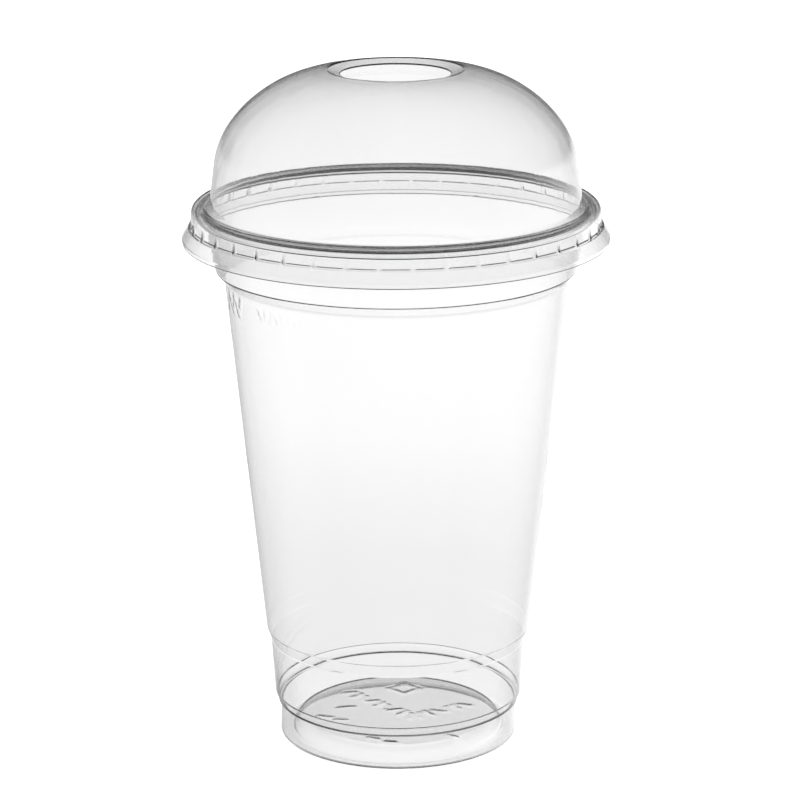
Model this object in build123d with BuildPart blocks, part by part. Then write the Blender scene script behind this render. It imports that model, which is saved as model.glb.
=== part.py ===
from build123d import *
from math import asin, atan2, cos, degrees, hypot, radians, sin, tan
import os

# A clear cold-drink cup with a dome lid that snaps over its rim. Each is thermoformed from one
# sheet, so each is a single thin shell: the cup is drawn down into a mould and
# its rim rolled outward, the lid is drawn up and its centre punched out.
# Millimetres, +Z up, origin on the axis at the surface that the cup stands on.

os.makedirs("parts", exist_ok=True)

# Cup, from the rim down ------------------------------------------------------
cup_height = 135.6  # table to the top of the rolled rim
rim_diameter = 98.0  # over the rolled rim
curl_diameter = 3.0  # section of the rolled rim
curl_turn = 190.0  # degrees that the rim is rolled through
cup_wall = 0.45
rim_band_depth = 15.0  # top of the rim to the corner of the rim shoulder
rim_band_flare = 2.05  # how much wider the rim band is at the rim
rim_shoulder_rise = 2.5
rim_shoulder_step = 2.2

# Cup, from the foot up -------------------------------------------------------
foot_diameter = 59.8  # foot wall, just above its rounded corner
foot_corner = 0.8  # rounding between the foot wall and the table
foot_height = 8.7  # table to the top of the foot wall
foot_lean = 0.35  # how much narrower the foot wall is at its top
contact_width = 2.8  # ring that touches the table, up to its inner corner
contact_corner = 1.0  # rounding of the ring's inner corner
contact_fall = 0.3  # inward run from the ring's corner up to the floor
floor_rise = 4.0  # underside of the floor above the table
floor_bead = 3.0  # rounding where the floor turns into the foot
ledge_step = 0.9  # small ledge that overhangs the foot wall
ledge_rise = 0.12
ledge_height = 2.2
ledge_flare = 0.2
ledge_corner = 0.46  # rounding of the ledge, just over the wall
parting_step = 0.5  # step above the ledge, where the mould's halves meet
parting_rise = 0.03
parting_corner = 0.05
lower_band_height = 14.0  # parting step to the stacking shoulder
lower_band_flare = 0.9
stack_shoulder_rise = 3.15
stack_shoulder_step = 1.05
fine_corner = 0.6  # rounding at the foot of the rim band
shoulder_corner = 1.2  # rounding of the two shoulders

# Lid -------------------------------------------------------------------------
lid_wall = 0.4
seat_gap = 0.3  # lid's channel above the rolled rim
side_gap = 0.7  # lid's channel outside the rolled rim
crest_corner = 1.9  # outer rounding of the channel
crest_lead = 0.5  # inner edge of the channel's top, inside the roll's centre
valley_depth = 0.9  # groove between the channel and the dome
valley_corner = 0.8
skirt_height = 8.9  # lip to the top of the channel
skirt_flare = 2.2  # lip outside the channel wall
skirt_flare_height = 4.6  # where the flare meets the channel wall
lip_height = 1.0  # upright lip below the flare
flare_corner = 5.0
dome_foot_gap = 0.3  # foot of the dome inside the cup's mouth
dome_wall_rise = 11.2  # straight, leaning part of the dome wall
dome_lean = 7.4  # degrees that the dome wall leans in
dome_shoulder_radius = 20.4
dome_shoulder_turn = 30.3  # degrees
dome_height = 32.8  # top of the channel to the crown ring
crown_ring_diameter = 33.0
crown_corner = 0.8
straw_hole_diameter = 27.0
straw_recess = 0.9  # hole's edge below the crown ring

# Snap lugs, pressed inward around the lid's channel --------------------------
lug_count = 40
lug_share = 0.88  # of the pitch that a lug takes
lug_gap = 0.4  # lug outside the rolled rim, as the lid lifts
lug_bottom = 3.6  # above the lip
lug_top = 6.4

# Derived radii and heights ---------------------------------------------------
rim_radius = rim_diameter / 2
curl_radius = curl_diameter / 2
curl_centre = (rim_radius - curl_radius, cup_height - curl_radius)
mouth_radius = rim_radius - curl_diameter
band_base = (mouth_radius + cup_wall - rim_band_flare, cup_height - rim_band_depth)
wall_top = (band_base[0] - rim_shoulder_step, band_base[1] - rim_shoulder_rise)

foot_radius = foot_diameter / 2
contact_inner = foot_radius - foot_corner - contact_width
floor_radius = contact_inner - contact_fall
foot_top = (foot_radius - foot_lean, foot_height)
ledge_low = (foot_top[0] + ledge_step, foot_top[1] + ledge_rise)
ledge_high = (ledge_low[0] + ledge_flare, ledge_low[1] + ledge_height)
parting = (ledge_high[0] + parting_step, ledge_high[1] + parting_rise)
band_top = (parting[0] + lower_band_flare, parting[1] + lower_band_height)
wall_base = (band_top[0] + stack_shoulder_step, band_top[1] + stack_shoulder_rise)

# The rim band runs straight up until it is tangent to the inside of the roll.
roll_inner = curl_radius - cup_wall
to_centre = (curl_centre[0] - band_base[0], curl_centre[1] - band_base[1])
band_angle = atan2(*to_centre) - asin(roll_inner / hypot(*to_centre))
band_end = (
    curl_centre[0] - roll_inner * cos(band_angle),
    curl_centre[1] + roll_inner * sin(band_angle),
)

channel_radius = rim_radius + side_gap + lid_wall
channel_top = cup_height + seat_gap + lid_wall
lip_base = channel_top - skirt_height
lip_radius = channel_radius + skirt_flare
crest_inner = curl_centre[0] - crest_lead
dome_foot = (mouth_radius - dome_foot_gap, channel_top - valley_depth)
crown_radius = crown_ring_diameter / 2
crown_top = channel_top + dome_height

lug_face = rim_radius + lug_gap + lid_wall
lug_low = lip_base + lug_bottom
lug_high = lip_base + lug_top
lug_arc = 360 / lug_count * lug_share
pocket_arc = lug_arc - 2 * degrees(lid_wall / channel_radius)
flare_top = lip_base + skirt_flare_height
flare_slope = skirt_flare / (skirt_flare_height - lip_height)
block_foot = lug_low - lid_wall
block_foot_radius = channel_radius + (flare_top - block_foot) * flare_slope - lid_wall / 2
block_radius = channel_radius - lid_wall / 4
straw_hole_radius = straw_hole_diameter / 2


# Cup: the outer surface from the axis out and up, then the rolled rim, given
# its wall towards the inside and turned about the axis.
with BuildPart() as cup:
    with BuildSketch(Plane.XZ):
        with BuildLine():
            outside = FilletPolyline(
                (0, floor_rise),
                (floor_radius, floor_rise),
                (contact_inner, 0),
                (foot_radius, 0),
                foot_top,
                ledge_low,
                ledge_high,
                parting,
                band_top,
                wall_base,
                wall_top,
                band_base,
                band_end,
                radius=[
                    floor_bead,
                    contact_corner,
                    foot_corner,
                    ledge_corner,
                    ledge_corner,
                    parting_corner,
                    parting_corner,
                    shoulder_corner,
                    shoulder_corner,
                    shoulder_corner,
                    fine_corner,
                ],
            )
            JernArc(start=outside @ 1, tangent=outside % 1, radius=roll_inner, arc_size=-curl_turn)
            offset(amount=cup_wall, side=Side.LEFT)
        make_face()
    revolve(axis=Axis.Z)
cup.part.label = "cup"

# One snap lug: a block that fills the skirt's wall inward, and the pocket that
# leaves the block hollow from outside.
with BuildPart() as lug_block:
    with BuildSketch(Plane.XZ):
        with BuildLine():
            Polyline(
                (lug_face - lid_wall, block_foot),
                (block_foot_radius, block_foot),
                (block_radius, flare_top),
                (block_radius, lug_high + lid_wall),
                (lug_face - lid_wall, lug_high + lid_wall),
                close=True,
            )
        make_face()
    revolve(axis=Axis.Z, revolution_arc=lug_arc)

with BuildPart() as lug_pocket:
    with BuildSketch(Plane.XZ):
        with BuildLine():
            Polyline(
                (lug_face, lug_low),
                (lip_radius, lug_low),
                (lip_radius, lug_high),
                (lug_face, lug_high),
                close=True,
            )
        make_face()
    revolve(axis=Axis.Z, revolution_arc=pocket_arc)

# Lid: the outer surface from the lip up over the channel and the dome to the
# crown, then down into the recess where the straw hole is punched.
with BuildPart() as lid:
    with BuildSketch(Plane.XZ):
        with BuildLine() as lid_outline:
            skirt = FilletPolyline(
                (lip_radius, lip_base),
                (lip_radius, lip_base + lip_height),
                (channel_radius, lip_base + skirt_flare_height),
                (channel_radius, channel_top),
                (crest_inner, channel_top),
                dome_foot,
                (
                    dome_foot[0] - dome_wall_rise * tan(radians(dome_lean)),
                    dome_foot[1] + dome_wall_rise,
                ),
                radius=[
                    lip_height / 2,
                    flare_corner,
                    crest_corner,
                    valley_corner,
                    valley_corner,
                ],
            )
            shoulder = JernArc(
                start=skirt @ 1,
                tangent=skirt % 1,
                radius=dome_shoulder_radius,
                arc_size=dome_shoulder_turn,
            )
            crown = TangentArc(
                shoulder @ 1,
                (crown_radius, crown_top),
                tangent=shoulder % 1,
            )
            Line(crown @ 1, (straw_hole_radius - lid_wall, crown_top - straw_recess))
            fillet(lid_outline.vertices().sort_by(Axis.Y)[-1], radius=crown_corner)
            offset(amount=lid_wall, side=Side.LEFT)
        make_face()
    revolve(axis=Axis.Z)
    with Locations((0, 0, crown_top)):
        Hole(straw_hole_radius, depth=2 * straw_recess + lid_wall)
    with PolarLocations(0, lug_count, start_angle=-lug_arc / 2):
        add(lug_block.part)
    with PolarLocations(0, lug_count, start_angle=-pocket_arc / 2):
        add(lug_pocket.part, mode=Mode.SUBTRACT)
lid.part.label = "lid"

export_step(cup.part, "parts/cup.step")
export_step(lid.part, "parts/lid.step")
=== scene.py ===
"""Looks of a clear cold-drink cup with a dome lid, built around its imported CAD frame.

Both pieces are thermoformed shells of clear plastic sheet. Each is drawn here as an outline of
its outer surface in the radius-height plane, given its wall, and turned about the cup's axis.
Outlines are in millimetres, and meshes are in metres.
"""

import logging
import math
from dataclasses import dataclass
from enum import Enum

import bpy
import numpy as np
from mathutils import Matrix, Vector

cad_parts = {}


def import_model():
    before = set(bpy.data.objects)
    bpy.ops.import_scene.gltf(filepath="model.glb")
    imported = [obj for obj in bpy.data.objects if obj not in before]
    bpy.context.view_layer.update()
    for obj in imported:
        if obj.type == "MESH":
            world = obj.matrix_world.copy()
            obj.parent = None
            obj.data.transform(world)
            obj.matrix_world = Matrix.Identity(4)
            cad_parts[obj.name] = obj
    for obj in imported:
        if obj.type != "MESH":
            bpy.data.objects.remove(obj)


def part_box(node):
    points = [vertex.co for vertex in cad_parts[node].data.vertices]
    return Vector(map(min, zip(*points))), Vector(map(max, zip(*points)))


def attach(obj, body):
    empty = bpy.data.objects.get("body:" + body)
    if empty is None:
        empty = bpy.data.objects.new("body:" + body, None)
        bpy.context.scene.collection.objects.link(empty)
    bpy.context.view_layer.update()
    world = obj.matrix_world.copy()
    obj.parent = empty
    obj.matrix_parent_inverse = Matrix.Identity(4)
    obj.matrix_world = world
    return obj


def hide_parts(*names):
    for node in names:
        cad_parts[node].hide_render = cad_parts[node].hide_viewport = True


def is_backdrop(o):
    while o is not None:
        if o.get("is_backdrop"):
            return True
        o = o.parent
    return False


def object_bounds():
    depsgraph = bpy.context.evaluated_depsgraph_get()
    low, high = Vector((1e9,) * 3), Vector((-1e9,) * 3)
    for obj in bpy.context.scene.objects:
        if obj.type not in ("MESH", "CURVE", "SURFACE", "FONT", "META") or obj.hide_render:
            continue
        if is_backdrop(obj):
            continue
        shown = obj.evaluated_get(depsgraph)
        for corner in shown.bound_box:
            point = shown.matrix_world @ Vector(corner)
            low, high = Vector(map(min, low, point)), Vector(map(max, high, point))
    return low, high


log = logging.getLogger("cup")

MM = 0.001
RIM_RADIUS = 49.0


class Body(Enum):
    """The rigid bodies that pieces ride on."""

    CUP = "cup"
    LID = "lid"


class Slot(Enum):
    """The record's material slots."""

    CUP = "cup_pet"
    LID = "lid_pet"


# ---------------------------------------------------------------------------------------------
# Outlines


class Outline:
    """A smooth chain of points in the radius-height plane, in millimetres."""

    def __init__(
        self, start: tuple[float, float], step: float, turn_step: float = 9.0, guard: float = 0.12
    ) -> None:
        """Starts the chain.

        Args:
            start: first point, as radius and height.
            step: longest distance between points on a straight run.
            turn_step: degrees between points on a bend.
            guard: distance from a run's ends to the points that keep it flat.
        """
        self.points = [Vector(start)]
        self.step = step
        self.guard = guard
        self.turn_step = math.radians(turn_step)

    def straight_to(self, end: Vector) -> None:
        """Adds an evenly divided straight run, with points close to its ends that keep it flat.

        Args:
            end: last point of the run.
        """
        begin = self.points[-1]
        length = (end - begin).length
        count = max(1, math.ceil(length / self.step))
        shares = [i / count for i in range(1, count + 1)]
        if length > 4 * self.guard:
            shares += [self.guard / length, 1 - self.guard / length]
        for share in sorted(shares):
            if length > 1e-6:
                self.points.append(begin.lerp(end, share))

    def heading(self) -> Vector:
        """Returns the unit direction of the chain's last piece."""
        return (self.points[-1] - self.points[-2]).normalized()

    def rounded(self, corners: list[tuple[float, float, float]], end: tuple[float, float]) -> None:
        """Adds straight runs joined by round bends.

        Args:
            corners: radius, height and bend radius of each corner.
            end: last point, as radius and height.
        """
        for i, (r, z, bend) in enumerate(corners):
            corner = Vector((r, z))
            following = Vector(corners[i + 1][:2]) if i + 1 < len(corners) else Vector(end)
            into = (corner - self.points[-1]).normalized()
            out = (following - corner).normalized()
            turn = into.angle_signed(out)
            back = bend * math.tan(abs(turn) / 2)
            self.straight_to(corner - into * back)
            self.arc(bend, -math.degrees(turn), heading=into)
        self.straight_to(Vector(end))

    def arc(self, radius: float, turn: float, heading: Vector | None = None) -> None:
        """Adds an arc tangent to the chain's end.

        Args:
            radius: radius of the arc.
            turn: degrees turned, positive to the left.
            heading: direction at the arc's start, by default the chain's own.
        """
        along = heading or self.heading()
        side = 1 if turn > 0 else -1
        centre = self.points[-1] + Vector((-along.y, along.x)) * side * radius
        spoke = self.points[-1] - centre
        length = abs(math.radians(turn)) * radius
        count = max(2, math.ceil(abs(math.radians(turn)) / self.turn_step), math.ceil(length / self.step))
        for i in range(1, count + 1):
            angle = math.radians(turn) * i / count
            self.points.append(centre + Matrix.Rotation(angle, 2) @ spoke)

    def arc_through(self, end: tuple[float, float], heading: Vector) -> None:
        """Adds the arc that leaves the chain along a heading and ends at a point.

        Args:
            end: last point, as radius and height.
            heading: direction at the arc's start.
        """
        chord = Vector(end) - self.points[-1]
        half = heading.angle_signed(chord)
        radius = chord.length / (2 * math.sin(abs(half)))
        self.arc(radius, -math.degrees(2 * half), heading)

    def array(self) -> np.ndarray:
        """Returns the points as rows of radius and height."""
        return np.array([tuple(p) for p in self.points])


def denser(points: np.ndarray, low: float, high: float, step: float) -> np.ndarray:
    """Divides an outline's pieces finely between two heights.

    Args:
        points: the outline's points.
        low: lower height.
        high: upper height.
        step: distance between points there.
    """
    rows = [points[:1]]
    for begin, end in zip(points[:-1], points[1:]):
        inside = max(begin[1], end[1]) > low and min(begin[1], end[1]) < high
        count = math.ceil(np.linalg.norm(end - begin) / step) if inside else 1
        shares = np.linspace(0, 1, count + 1)[1:, None]
        rows.append(begin + (end - begin) * shares)
    return np.vstack(rows)


def walled(
    outer: np.ndarray, wall: np.ndarray, closed_at_axis: bool, ease: float = 0.3, end_points: int = 5
) -> np.ndarray:
    """Gives an outline its wall, on the left of its direction, with round free edges.

    Args:
        outer: points of the outer surface.
        wall: wall at each point.
        closed_at_axis: whether the outline starts on the axis.
        ease: distance over which the inner surface rounds off a sharp outer corner.
        end_points: points that round each free edge.

    Returns:
        The section's points, outer surface first and inner surface back.
    """
    ahead = np.vstack([outer[1:], outer[-1:]])
    behind = np.vstack([outer[:1], outer[:-1]])
    along = ahead - behind
    along /= np.linalg.norm(along, axis=1)[:, None]
    reach = np.linalg.norm(np.diff(outer, axis=0), axis=1)
    run = np.concatenate([[0.0], np.cumsum(reach)])
    share = (np.append(reach, 0.0) + np.insert(reach, 0, 0.0)) / 2
    weight = np.exp(-(((run[:, None] - run[None, :]) / ease) ** 2)) * share[None, :]
    eased = weight @ along
    eased /= np.linalg.norm(eased, axis=1)[:, None]
    left = np.column_stack([-eased[:, 1], eased[:, 0]])
    if closed_at_axis:
        left[0] = (0.0, 1.0)
    inner = outer + left * wall[:, None]
    angles = np.linspace(0, math.pi, end_points + 2)[1:-1]

    def edge(at: int, way: float) -> np.ndarray:
        """Returns the points that round one free edge.

        Args:
            at: which of the outline's points is at the edge.
            way: 1 where the edge faces along the outline, -1 where it faces back.
        """
        middle = (outer[at] + inner[at]) / 2
        spoke = outer[at] - middle
        forward = along[at] * way * np.linalg.norm(spoke)
        return np.array([middle + spoke * math.cos(a) + forward * math.sin(a) for a in angles])

    rows = [outer, edge(-1, 1.0), inner[::-1]]
    if not closed_at_axis:
        rows.append(edge(0, -1.0)[::-1])
    return np.vstack(rows)


def turned(
    name: str, angles: np.ndarray, radii: np.ndarray, heights: np.ndarray, closed_at_axis: bool
) -> bpy.types.Object:
    """Turns a section about the axis into a smooth closed mesh.

    Args:
        name: name of the new object.
        angles: angle of each column, in radians.
        radii: radius of each section point in each column, in millimetres.
        heights: height of each section point in each column, in millimetres.
        closed_at_axis: whether the section starts and ends on the axis.

    Returns:
        The new object.
    """
    rows, columns = radii.shape
    x = radii * np.cos(angles)[None, :]
    y = radii * np.sin(angles)[None, :]
    grid = np.stack([x, y, heights], axis=2) * MM
    if closed_at_axis:
        poles = grid[[0, -1]].mean(axis=1)
        grid = grid[1:-1]
        rows -= 2
    index = np.arange(rows * columns).reshape(rows, columns)
    across = np.roll(index, -1, axis=1)
    last = rows - 1 if closed_at_axis else rows
    after = np.roll(index, -1, axis=0)
    after_across = np.roll(across, -1, axis=0)
    quads = np.stack([index, across, after_across, after], axis=2)[:last].reshape(-1, 4)
    faces = [tuple(q) for q in quads.tolist()]
    points = grid.reshape(-1, 3)
    if closed_at_axis:
        low, high = len(points), len(points) + 1
        points = np.vstack([points, poles])
        faces += [(low, b, a) for a, b in zip(index[0].tolist(), across[0].tolist())]
        faces += [(high, a, b) for a, b in zip(index[-1].tolist(), across[-1].tolist())]
    mesh = bpy.data.meshes.new(name)
    mesh.from_pydata(points.tolist(), [], faces)
    mesh.validate()
    mesh.shade_smooth()
    made = bpy.data.objects.new(name, mesh)
    bpy.context.scene.collection.objects.link(made)
    return made


def soft_step(low: float, high: float, value: np.ndarray) -> np.ndarray:
    """Returns a smooth rise from 0 at low to 1 at high."""
    t = np.clip((value - low) / (high - low), 0, 1)
    return t * t * (3 - 2 * t)


# ---------------------------------------------------------------------------------------------
# Finishes


@dataclass(frozen=True)
class ClearSheet:
    """Clear thermoformed plastic sheet, polished, with the faint ripple of the forming."""

    name: str
    roughness: float = 0.015
    refraction: float = 1.575
    ripple_size: float = 90.0
    ripple_depth: float = 0.02
    haze_size: float = 26.0
    haze: float = 0.02
    tint: tuple[float, float, float] = (1.0, 1.0, 1.0)
    absorbed: tuple[float, float, float] = (0.40, 0.44, 0.44)
    absorption: float = 14.0

    def material(self) -> bpy.types.Material:
        """Returns the sheet's material, with its ripple and haze from noise."""
        made = bpy.data.materials.new(self.name)
        made.use_nodes = True
        nodes, links = made.node_tree.nodes, made.node_tree.links
        nodes.clear()
        output = nodes.new("ShaderNodeOutputMaterial")
        shader = nodes.new("ShaderNodeBsdfPrincipled")
        shader.inputs["Base Color"].default_value = (*self.tint, 1.0)
        shader.inputs["Transmission Weight"].default_value = 1.0
        shader.inputs["IOR"].default_value = self.refraction
        place = nodes.new("ShaderNodeTexCoord")
        haze = nodes.new("ShaderNodeTexNoise")
        haze.inputs["Scale"].default_value = self.haze_size
        spread = nodes.new("ShaderNodeMapRange")
        spread.inputs["To Min"].default_value = self.roughness
        spread.inputs["To Max"].default_value = self.roughness + self.haze
        ripple = nodes.new("ShaderNodeTexNoise")
        ripple.inputs["Scale"].default_value = self.ripple_size
        ripple.inputs["Detail"].default_value = 2.0
        bump = nodes.new("ShaderNodeBump")
        bump.inputs["Strength"].default_value = 1.0
        bump.inputs["Distance"].default_value = self.ripple_depth * MM
        absorption = nodes.new("ShaderNodeVolumeAbsorption")
        absorption.inputs["Color"].default_value = (*self.absorbed, 1.0)
        absorption.inputs["Density"].default_value = self.absorption
        links.new(place.outputs["Object"], haze.inputs["Vector"])
        links.new(place.outputs["Object"], ripple.inputs["Vector"])
        links.new(haze.outputs["Fac"], spread.inputs["Value"])
        links.new(spread.outputs["Result"], shader.inputs["Roughness"])
        links.new(ripple.outputs["Fac"], bump.inputs["Height"])
        links.new(bump.outputs["Normal"], shader.inputs["Normal"])
        links.new(shader.outputs["BSDF"], output.inputs["Surface"])
        links.new(absorption.outputs["Volume"], output.inputs["Volume"])
        return made


# ---------------------------------------------------------------------------------------------
# Embossed marks


def near_strokes(x: np.ndarray, y: np.ndarray, strokes: list[tuple[float, ...]], width: float) -> np.ndarray:
    """Returns 1 on strokes, falling smoothly to 0 at their edges.

    Args:
        x: first coordinate of each point.
        y: second coordinate of each point.
        strokes: both ends of each stroke.
        width: half the width of a stroke.
    """
    best = np.full(x.shape, np.inf)
    for x0, y0, x1, y1 in strokes:
        dx, dy = x1 - x0, y1 - y0
        share = np.clip(((x - x0) * dx + (y - y0) * dy) / (dx * dx + dy * dy), 0, 1)
        best = np.minimum(best, np.hypot(x - x0 - share * dx, y - y0 - share * dy))
    return soft_step(width, 0.0, best)


@dataclass(frozen=True)
class FloorMarks:
    """Plain marks embossed in the cup's floor: a diamond, two rows of ticks and a few dashes."""

    depth: float = 0.24
    width: float = 1.25
    diamond: tuple[float, float, float] = (1.4, 14.8, 3.6)
    rows: tuple[tuple[float, float, float, float, int], ...] = (
        (-12.5, 12.0, 3.0, -4.5, 9),
        (5.5, -4.0, 17.0, 3.0, 6),
    )
    tick: float = 3.0
    tick_lean: float = 60.0
    tick_swing: float = 35.0
    dashes: tuple[tuple[float, float, float, float], ...] = (
        (-15.0, 1.2, -11.5, 2.0),
        (-20.0, -4.0, -17.0, -5.0),
        (-15.5, -6.5, -13.5, -7.0),
        (-7.5, -19.5, -5.0, -20.5),
        (-3.5, -22.0, -1.0, -22.4),
        (12.5, -18.0, 14.5, -19.5),
    )

    def strokes(self) -> list[tuple[float, ...]]:
        """Returns both ends of each stroke, in millimetres."""
        x, y, half = self.diamond
        tips = [(x - half, y), (x, y - half), (x + half, y), (x, y + half)]
        made = [(*tips[i - 1], *tips[i]) for i in range(4)]
        for x0, y0, x1, y1, count in self.rows:
            along = Vector((x1 - x0, y1 - y0)).normalized()
            for i in range(count):
                share = i / (count - 1)
                middle = Vector((x0, y0)).lerp(Vector((x1, y1)), share)
                turn = math.radians(self.tick_lean + self.tick_swing * (i % 3))
                lean = Matrix.Rotation(turn, 2) @ along * self.tick / 2
                made.append((*(middle - lean), *(middle + lean)))
        return made + list(self.dashes)

    def raised(self, x: np.ndarray, y: np.ndarray) -> np.ndarray:
        """Returns how far the floor is raised at each point, in millimetres."""
        return self.depth * near_strokes(x, y, self.strokes(), self.width)


@dataclass(frozen=True)
class SideMarks:
    """Plain upright bars and a zigzag embossed in the wall below the rim's shoulder."""

    depth: float = 0.2
    width: float = 0.85
    radius: float = 42.0
    heights: tuple[float, float] = (111.5, 118.0)
    sector: tuple[float, float] = (190.0, 250.0)
    bars: tuple[float, float, int] = (219.0, 248.0, 12)
    bar_height: float = 2.0
    bar_lean: float = 0.5
    middle: float = 114.8
    zigzag: tuple[float, float, int] = (193.0, 207.0, 6)
    zigzag_height: float = 4.6

    def columns(self, count: int) -> np.ndarray:
        """Returns the angle of each column, twice as close together where the marks are.

        Args:
            count: number of columns.
        """
        low, high = self.sector
        fine = round(count * 2 * (high - low) / (360 + high - low))
        marked = np.linspace(low, high, fine, endpoint=False)
        bare = np.linspace(high, low + 360, count - fine, endpoint=False)
        return np.radians(np.concatenate([marked, bare]))

    def raised(self, angles: np.ndarray, heights: np.ndarray) -> np.ndarray:
        """Returns how far the wall is pushed out at each point, in millimetres.

        Args:
            angles: angle of each column, in radians.
            heights: height of each point in each column, in millimetres.
        """
        around = np.broadcast_to((np.degrees(angles) % 360)[None, :], heights.shape)
        per_degree = math.radians(self.radius)
        half = self.bar_height / 2
        strokes = []
        for i, angle in enumerate(np.linspace(*self.bars)):
            lean = self.bar_lean * (i % 3 - 1)
            middle = angle * per_degree
            strokes.append((middle - lean, self.middle - half, middle + lean, self.middle + half))
        turns = np.linspace(*self.zigzag) * per_degree
        half = self.zigzag_height / 2
        levels = [self.middle - half, self.middle + half] * len(turns)
        for i in range(len(turns) - 1):
            strokes.append((turns[i], levels[i], turns[i + 1], levels[i + 1]))
        return self.depth * near_strokes(around * per_degree, heights, strokes, self.width)


# ---------------------------------------------------------------------------------------------
# Cup


@dataclass
class Cup:
    """The thermoformed cup: foot, floor, stacking steps, wall, rim band and rolled rim."""

    height: float
    rim_radius: float
    wall: float = 0.45
    curl_diameter: float = 3.0
    curl_turn: float = 190.0
    curl_wall: float = 0.65
    curl_run: float = 7.0
    rim_band_depth: float = 15.0
    rim_band_flare: float = 2.05
    rim_shoulder_rise: float = 2.5
    rim_shoulder_step: float = 2.2
    foot_radius: float = 29.9
    foot_corner: float = 0.8
    foot_height: float = 8.7
    foot_lean: float = 0.35
    contact_width: float = 2.8
    contact_corner: float = 1.0
    contact_fall: float = 0.3
    floor_rise: float = 4.0
    floor_bead: float = 3.0
    ledge_step: float = 0.9
    ledge_rise: float = 0.12
    ledge_height: float = 2.2
    ledge_flare: float = 0.2
    parting_step: float = 0.5
    parting_rise: float = 0.03
    lower_band_height: float = 14.0
    lower_band_flare: float = 0.9
    stack_shoulder_rise: float = 3.15
    stack_shoulder_step: float = 1.05
    crease: float = 0.06
    sharp_corner: float = 0.2
    fine_corner: float = 0.6
    shoulder_corner: float = 1.2
    columns: int = 216
    run_step: float = 5.0
    floor_step: float = 0.7
    side_step: float = 0.5

    def outline(self) -> np.ndarray:
        """Returns the outer surface, from the axis out, up the wall and round the rolled rim."""
        contact_inner = self.foot_radius - self.foot_corner - self.contact_width
        floor_radius = contact_inner - self.contact_fall
        foot_top = (self.foot_radius - self.foot_lean, self.foot_height)
        ledge_low = (foot_top[0] + self.ledge_step, foot_top[1] + self.ledge_rise)
        ledge_high = (ledge_low[0] + self.ledge_flare, ledge_low[1] + self.ledge_height)
        parting = (ledge_high[0] + self.parting_step, ledge_high[1] + self.parting_rise)
        band_top = (parting[0] + self.lower_band_flare, parting[1] + self.lower_band_height)
        wall_base = (band_top[0] + self.stack_shoulder_step, band_top[1] + self.stack_shoulder_rise)
        mouth = self.rim_radius - self.curl_diameter
        band_base = (mouth + self.wall - self.rim_band_flare, self.height - self.rim_band_depth)
        wall_top = (band_base[0] - self.rim_shoulder_step, band_base[1] - self.rim_shoulder_rise)
        roll = self.curl_diameter / 2 - self.curl_wall
        centre = (self.rim_radius - self.curl_diameter / 2, self.height - self.curl_diameter / 2)
        to_centre = (centre[0] - band_base[0], centre[1] - band_base[1])
        lean = math.atan2(*to_centre) - math.asin(roll / math.hypot(*to_centre))
        band_end = (centre[0] - roll * math.cos(lean), centre[1] + roll * math.sin(lean))
        line = Outline((0.0, self.floor_rise), step=self.floor_step)
        line.straight_to(Vector((floor_radius - self.floor_bead, self.floor_rise)))
        line.step = self.run_step
        line.rounded(
            [
                (floor_radius, self.floor_rise, self.floor_bead),
                (contact_inner, 0.0, self.contact_corner),
                (self.foot_radius, 0.0, self.foot_corner),
                (*foot_top, self.sharp_corner),
                (*ledge_low, self.sharp_corner),
                (*ledge_high, self.crease),
                (*parting, self.crease),
                (*band_top, self.shoulder_corner),
                (*wall_base, self.shoulder_corner),
                (*wall_top, self.shoulder_corner),
                (*band_base, self.fine_corner),
            ],
            band_end,
        )
        line.arc(roll, -self.curl_turn, Vector((math.sin(lean), math.cos(lean))))
        return denser(line.array(), *SideMarks().heights, self.side_step)

    def build(self) -> bpy.types.Object:
        """Returns the finished cup."""
        outer = self.outline()
        top = self.height - self.curl_diameter
        upper = soft_step(top - self.curl_run, top, outer[:, 1])
        wall = self.wall + (self.curl_wall - self.wall) * upper
        section = walled(outer, wall, closed_at_axis=True)
        side, under = SideMarks(), FloorMarks()
        angles = side.columns(self.columns)
        radii = np.repeat(section[:, :1], len(angles), axis=1)
        heights = np.repeat(section[:, 1:], len(angles), axis=1)
        x, y = radii * np.cos(angles), radii * np.sin(angles)
        floor = section[:, 1] < self.floor_rise + 2 * self.wall
        heights += under.raised(x, y) * floor[:, None]
        radii += side.raised(angles, heights) * ~floor[:, None]
        made = turned("cup_shell", angles, radii, heights, closed_at_axis=True)
        made.data.materials.append(ClearSheet("cup_pet_clear").material())
        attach(made, Body.CUP.value)
        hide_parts("cup")
        return made


# ---------------------------------------------------------------------------------------------
# Lid


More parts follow.
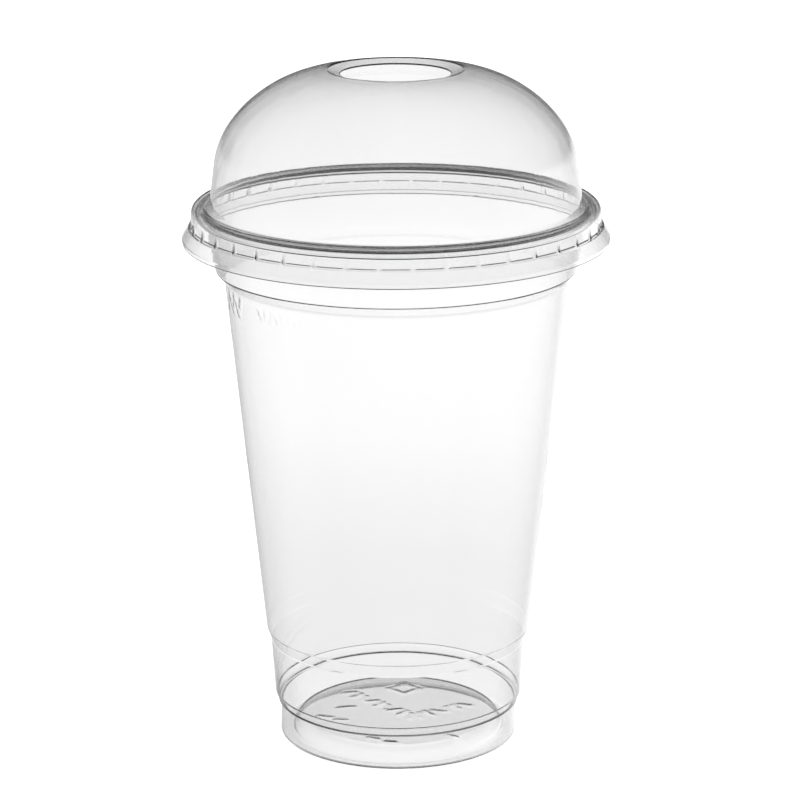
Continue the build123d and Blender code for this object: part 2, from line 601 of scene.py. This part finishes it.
@dataclass
class Lid:
    """The thermoformed lid: skirt with snap lugs, channel, dome and straw hole."""

    lip_radius: float
    lip_base: float
    crown_top: float
    cup_height: float
    rim_radius: float
    wall: float = 0.4
    seat_gap: float = 0.3
    side_gap: float = 0.7
    crest_corner: float = 1.9
    crest_lead: float = 0.5
    curl_diameter: float = 3.0
    valley_depth: float = 0.9
    valley_corner: float = 0.8
    skirt_flare_height: float = 4.6
    lip_height: float = 1.0
    flare_corner: float = 5.0
    dome_foot_gap: float = 0.3
    dome_wall_rise: float = 11.2
    dome_lean: float = 7.4
    dome_shoulder_radius: float = 20.4
    dome_shoulder_turn: float = 30.3
    crown_ring_radius: float = 16.5
    straw_hole_radius: float = 13.5
    straw_recess: float = 0.9
    lug_count: int = 40
    lug_gap: float = 0.57
    lug_bottom: float = 3.6
    lug_top: float = 6.4
    lug_shelf: float = 0.35
    lug_fade: float = 0.9
    lug_sides: tuple[float, float] = (3.5, 4.4)
    lug_columns: tuple[float, ...] = (0.0, 3.4, 3.7, 4.0, 4.3, 4.5)
    skirt_step: float = 0.9
    skirt_turn_step: float = 11.0
    dome_step: float = 2.0

    def outline(self) -> np.ndarray:
        """Returns the outer surface, from the lip up over the channel and dome to the hole."""
        channel = self.rim_radius + self.side_gap + self.wall
        top = self.cup_height + self.seat_gap + self.wall
        mouth = self.rim_radius - self.curl_diameter
        lean = math.radians(self.dome_lean)
        dome_foot = (mouth - self.dome_foot_gap, top - self.valley_depth)
        dome_top = (
            dome_foot[0] - self.dome_wall_rise * math.tan(lean),
            dome_foot[1] + self.dome_wall_rise,
        )
        line = Outline((self.lip_radius, self.lip_base), self.skirt_step, self.skirt_turn_step)
        line.rounded(
            [
                (self.lip_radius, self.lip_base + self.lip_height, self.lip_height / 2),
                (channel, self.lip_base + self.skirt_flare_height, self.flare_corner),
                (channel, top, self.crest_corner),
                (self.rim_radius - self.curl_diameter / 2 - self.crest_lead, top, self.valley_corner),
                (*dome_foot, self.valley_corner),
            ],
            dome_top,
        )
        line.step = self.dome_step
        heading = Vector((-math.sin(lean), math.cos(lean)))
        line.arc(self.dome_shoulder_radius, self.dome_shoulder_turn, heading)
        turned_to = lean + math.radians(self.dome_shoulder_turn)
        heading = Vector((-math.sin(turned_to), math.cos(turned_to)))
        line.arc_through((self.crown_ring_radius, self.crown_top), heading)
        line.points.insert(-1, line.points[-1] - line.heading() * line.guard)
        hole = Vector((self.straw_hole_radius, self.crown_top - self.straw_recess))
        line.straight_to(hole)
        low, shelf = self.lip_base + self.lug_bottom, self.lug_shelf
        return denser(line.array(), low - shelf, low + 2 * shelf, shelf / 2)

    def lugs(self) -> tuple[np.ndarray, np.ndarray]:
        """Returns the angle of each column and how far it is pressed in, from 0 to 1."""
        offsets = sorted({*self.lug_columns, *(-a for a in self.lug_columns[:-1])})
        pitch = 360.0 / self.lug_count
        angles = np.array([i * pitch + a for i in range(self.lug_count) for a in offsets])
        inset = 1 - soft_step(*self.lug_sides, np.abs(np.tile(offsets, self.lug_count)))
        return np.radians(angles), inset

    def build(self) -> bpy.types.Object:
        """Returns the finished lid."""
        outer = self.outline()
        section = walled(outer, np.full(len(outer), self.wall), closed_at_axis=False)
        angles, inset = self.lugs()
        low, high = self.lip_base + self.lug_bottom, self.lip_base + self.lug_top
        rise = soft_step(low, low + self.lug_shelf, section[:, 1])
        fall = soft_step(high - self.lug_fade, high, section[:, 1])
        within = (rise - fall) * (section[:, 0] > self.rim_radius)
        face = np.full(len(section), self.rim_radius + self.lug_gap)
        face[: len(outer)] += self.wall
        pressed = within[:, None] * inset[None, :]
        radii = section[:, :1] * (1 - pressed) + face[:, None] * pressed
        heights = np.repeat(section[:, 1:], len(angles), axis=1)
        made = turned("lid_shell", angles, radii, heights, closed_at_axis=False)
        made.data.materials.append(ClearSheet("lid_pet_clear").material())
        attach(made, Body.LID.value)
        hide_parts("lid")
        return made


# ---------------------------------------------------------------------------------------------
# Studio


@dataclass
class Studio:
    """The camera, the pale floor and the soft light round the object."""

    distance: float = 0.7809
    height: float = 0.3078
    aside: float = 0.00075
    pitch: float = 15.844
    roll: float = -0.236
    lens: float = 147.35
    tent_radius: float = 20.0
    floor_size: float = 9.0
    glow: float = 1.2
    azimuths: tuple[tuple[float, float], ...] = (
        (-180.0, 0.05),
        (-110.0, 0.06),
        (-80.0, 0.14),
        (-63.0, 0.24),
        (-39.0, 0.40),
        (-25.0, 0.46),
        (-13.0, 0.57),
        (-5.0, 0.96),
        (0.0, 1.0),
        (6.0, 1.0),
        (13.0, 0.97),
        (25.0, 0.88),
        (38.0, 0.74),
        (55.0, 0.76),
        (69.0, 0.68),
        (90.0, 0.45),
        (120.0, 0.08),
        (180.0, 0.05),
    )
    elevations: tuple[tuple[float, float], ...] = (
        (-90.0, 0.12),
        (-60.0, 0.25),
        (-40.0, 0.55),
        (-20.0, 0.72),
        (-12.0, 0.84),
        (-8.0, 0.92),
        (-5.6, 0.94),
        (-4.2, 0.875),
        (-2.8, 0.89),
        (-1.4, 0.955),
        (-0.5, 1.01),
        (2.0, 1.03),
        (3.5, 0.96),
        (4.9, 0.93),
        (8.0, 0.90),
        (10.5, 0.62),
        (13.0, 0.12),
        (19.0, 0.03),
        (90.0, 0.02),
    )

    def camera(self) -> bpy.types.Object:
        """Returns the scene's camera, looking a little down at the object."""
        data = bpy.data.cameras.new("camera")
        data.lens = self.lens
        data.sensor_width = 36.0
        data.clip_start, data.clip_end = 0.01, 100.0
        made = bpy.data.objects.new("camera", data)
        made.location = (self.aside, -self.distance, self.height)
        turn = Matrix.Rotation(math.radians(90.0 - self.pitch), 3, "X")
        made.rotation_euler = (turn @ Matrix.Rotation(math.radians(self.roll), 3, "Z")).to_euler()
        bpy.context.scene.collection.objects.link(made)
        bpy.context.scene.camera = made
        return made

    def floor(self) -> bpy.types.Object:
        """Returns the pale floor, which the camera sees and the clear plastic doesn't mirror."""
        half = self.floor_size / 2
        mesh = bpy.data.meshes.new("floor")
        corners = [(-half, -half, 0.0), (half, -half, 0.0), (half, half, 0.0), (-half, half, 0.0)]
        mesh.from_pydata(corners, [], [(0, 1, 2, 3)])
        made = bpy.data.objects.new("floor", mesh)
        bpy.context.scene.collection.objects.link(made)
        material = bpy.data.materials.new("floor_white")
        material.use_nodes = True
        shader = material.node_tree.nodes["Principled BSDF"]
        shader.inputs["Base Color"].default_value = (0.9, 0.9, 0.9, 1.0)
        shader.inputs["Roughness"].default_value = 0.9
        shader.inputs["Emission Color"].default_value = (1.0, 1.0, 1.0, 1.0)
        shader.inputs["Emission Strength"].default_value = 0.7
        mesh.materials.append(material)
        made.visible_glossy = False
        made.visible_transmission = False
        made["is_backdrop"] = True
        return made

    def ramp(self, nodes: bpy.types.Nodes, stops: tuple[tuple[float, float], ...]) -> bpy.types.Node:
        """Returns a ramp of grey levels over a range of degrees.

        Args:
            nodes: nodes of the material that takes the ramp.
            stops: angle in degrees and level of each stop.
        """
        low, high = stops[0][0], stops[-1][0]
        made = nodes.new("ShaderNodeValToRGB")
        made.color_ramp.interpolation = "LINEAR"
        elements = made.color_ramp.elements
        while len(elements) < len(stops):
            elements.new(0.5)
        for element, (angle, level) in zip(elements, stops):
            element.position = (angle - low) / (high - low)
            element.color = (level, level, level, 1.0)
        return made

    def tent(self, camera: bpy.types.Object) -> bpy.types.Object:
        """Returns the light tent, a great shell of soft light that goes round with the camera.

        Args:
            camera: the camera that carries the tent.
        """
        bpy.ops.mesh.primitive_uv_sphere_add(segments=64, ring_count=32, radius=self.tent_radius)
        made = bpy.context.object
        made.name = "light_tent"
        made.parent = camera
        material = bpy.data.materials.new("tent_light")
        material.use_nodes = True
        nodes, links = material.node_tree.nodes, material.node_tree.links
        nodes.clear()
        place = nodes.new("ShaderNodeTexCoord")
        parts = nodes.new("ShaderNodeSeparateXYZ")
        links.new(place.outputs["Object"], parts.inputs["Vector"])

        def maths(operation: str, first: object, second: object = None) -> bpy.types.NodeSocket:
            """Returns the output of a new maths node.

            Args:
                operation: what the node works out.
                first: socket or plain number.
                second: socket or plain number, where the operation takes two.
            """
            node = nodes.new("ShaderNodeMath")
            node.operation = operation
            for socket, given in zip(node.inputs, (first, second)):
                if isinstance(given, bpy.types.NodeSocket):
                    links.new(given, socket)
                elif given is not None:
                    socket.default_value = given
            return node.outputs[0]

        ahead = maths("MULTIPLY", parts.outputs["Z"], -1.0)
        azimuth = maths("DEGREES", maths("ARCTAN2", parts.outputs["X"], ahead))
        level = maths("DIVIDE", parts.outputs["Y"], self.tent_radius)
        elevation = maths("DEGREES", maths("ARCSINE", level))
        levels = []
        for angle, stops in ((azimuth, self.azimuths), (elevation, self.elevations)):
            low, high = stops[0][0], stops[-1][0]
            share = maths("DIVIDE", maths("SUBTRACT", angle, low), high - low)
            ramp = self.ramp(nodes, stops)
            links.new(share, ramp.inputs["Fac"])
            levels.append(ramp.outputs["Color"])
        light = nodes.new("ShaderNodeEmission")
        light.inputs["Color"].default_value = (1.0, 1.0, 1.0, 1.0)
        links.new(maths("MULTIPLY", maths("MULTIPLY", *levels), self.glow), light.inputs["Strength"])
        output = nodes.new("ShaderNodeOutputMaterial")
        links.new(light.outputs["Emission"], output.inputs["Surface"])
        material.cycles.emission_sampling = "NONE"
        made.data.materials.append(material)
        made.visible_camera = False
        made.visible_diffuse = False
        made.visible_shadow = False
        made.visible_volume_scatter = False
        made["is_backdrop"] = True
        return made

    def build(self) -> None:
        """Makes the camera, floor, tent and white surroundings."""
        camera = self.camera()
        self.floor()
        self.tent(camera)
        world = bpy.data.worlds.new("white_room")
        bpy.context.scene.world = world
        world.use_nodes = True
        shader = world.node_tree.nodes["Background"]
        shader.inputs["Color"].default_value = (1.0, 1.0, 1.0, 1.0)
        shader.inputs["Strength"].default_value = 1.0
        scene = bpy.context.scene
        scene.view_settings.view_transform = "Standard"
        scene.cycles.max_bounces = 32
        scene.cycles.transmission_bounces = 32
        scene.cycles.glossy_bounces = 32


def corners(box: tuple[Vector, Vector]) -> list[list[float]]:
    """Returns a box as plain lists of numbers."""
    return [list(corner) for corner in box]


def main() -> None:
    """Builds the cup, the lid and the studio, and works out both models' boxes."""
    logging.basicConfig(level=logging.INFO, format="%(name)s: %(message)s")
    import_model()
    cad_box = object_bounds()
    cup_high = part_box("cup")[1]
    lid_low, lid_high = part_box("lid")
    cup = Cup(height=cup_high.z / MM, rim_radius=RIM_RADIUS)
    lid = Lid(
        lip_radius=lid_high.x / MM,
        lip_base=lid_low.z / MM,
        crown_top=lid_high.z / MM,
        cup_height=cup.height,
        rim_radius=RIM_RADIUS,
    )
    for part in (cup, lid):
        made = part.build()
        log.info("%s: %d faces", made.name, len(made.data.polygons))
    Studio().build()
    {"cad": corners(cad_box), "visual": corners(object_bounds())}


if __name__ == "__main__":
    main()
